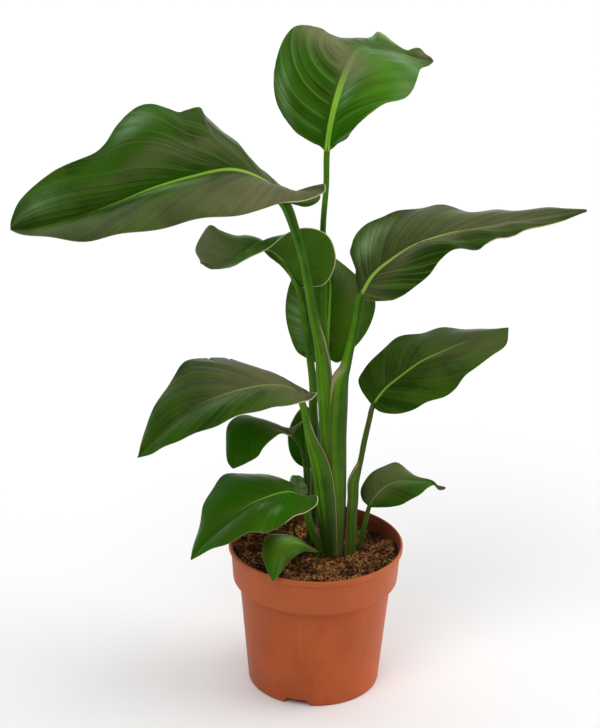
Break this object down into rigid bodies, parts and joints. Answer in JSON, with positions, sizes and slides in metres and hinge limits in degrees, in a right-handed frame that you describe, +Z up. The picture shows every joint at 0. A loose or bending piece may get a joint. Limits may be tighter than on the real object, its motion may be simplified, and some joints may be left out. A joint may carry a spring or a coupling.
{
  "type": "potted bird of paradise plant",
  "caption": "Leafy bird of paradise house plant with broad arching leaves on clasping stalks, in potting mix in a tapered plastic nursery pot with a collar and drainage channels.",
  "frame": {"origin": "centre of the pot's underside, on the surface that it stands on", "axes": "+Z up the plant, +X to the side where the upper right leaf reaches, -Y towards the front"},
  "size_m": [0.5274, 0.1945, 0.6494],
  "materials": {
    "pot_plastic": "matte terracotta-coloured moulded plastic",
    "potting_mix": "loose brown peat and coir crumbs",
    "leaf_blade": "smooth glossy dark green leaf with fine side veins",
    "leaf_stalk": "smooth mid green leaf stalk",
    "wilted_leaf": "dull olive wilting leaf"
  },
  "bodies": {
    "root": {"pot": "pot_plastic", "potting_mix": "potting_mix", "top_leaf_stalk": "leaf_stalk", "top_leaf_blade": "leaf_blade", "upper_left_leaf_stalk": "leaf_stalk", "upper_left_leaf_blade": "leaf_blade", "twisted_leaf_stalk": "leaf_stalk", "twisted_leaf_blade": "leaf_blade", "rear_leaf_stalk": "leaf_stalk", "rear_leaf_blade": "leaf_blade", "upper_right_leaf_stalk": "leaf_stalk", "upper_right_leaf_blade": "leaf_blade", "middle_right_leaf_stalk": "leaf_stalk", "middle_right_leaf_blade": "leaf_blade", "middle_left_leaf_stalk": "leaf_stalk", "middle_left_leaf_blade": "leaf_blade", "hanging_leaf_stalk": "leaf_stalk", "hanging_leaf_blade": "leaf_blade", "inner_leaf_stalk": "leaf_stalk", "inner_leaf_blade": "leaf_blade", "lower_left_leaf_stalk": "leaf_stalk", "lower_left_leaf_blade": "leaf_blade", "lower_right_leaf_stalk": "leaf_stalk", "lower_right_leaf_blade": "leaf_blade", "rim_leaf_stalk": "leaf_stalk", "rim_leaf_blade": "leaf_blade", "wilted_leaf_stalk": "leaf_stalk", "wilted_leaf_blade": "wilted_leaf"}
  },
  "joints": []
}
